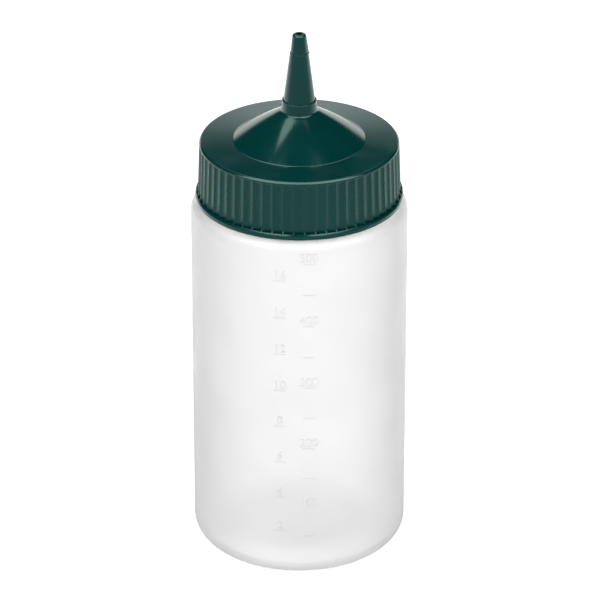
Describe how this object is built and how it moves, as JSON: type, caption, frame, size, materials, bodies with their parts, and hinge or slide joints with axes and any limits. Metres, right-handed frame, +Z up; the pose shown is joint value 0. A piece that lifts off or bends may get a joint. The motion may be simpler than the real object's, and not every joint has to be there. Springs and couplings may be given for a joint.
{
  "type": "squeeze bottle",
  "caption": "Translucent round squeeze bottle with a screw cap that ends in an open cone nozzle, for dispensing sauces.",
  "frame": {"origin": "centre of the standing plane under the base", "axes": "+Z up the bottle's axis to the nozzle, the measuring scale towards -Y, +X to its right"},
  "size_m": [0.076, 0.076, 0.1947],
  "materials": {
    "bottle": "satin translucent low density polyethylene, natural",
    "cap": "moulded dark green, gloss top and satin ribs",
    "sealing_ring": "matte soft white"
  },
  "bodies": {
    "bottle": {"bottle": "bottle"},
    "cap_seal": {"sealing_ring": "sealing_ring"},
    "cap": {"cap": "cap"}
  },
  "joints": [
    {"name": "cap_lift", "type": "slide", "parent": "bottle", "child": "cap_seal", "axis": [0, 0, 1], "range_m": [0, 0.00635]},
    {"name": "cap_turn", "type": "hinge", "parent": "cap_seal", "child": "cap", "pos_m": [0, 0, 0.143], "axis": [0, 0, 1], "range_deg": [0, 540]}
  ],
  "couplings": [
    {"joint": "cap_lift", "follows": "cap_turn", "m_per_rad": 0.00067376}
  ]
}
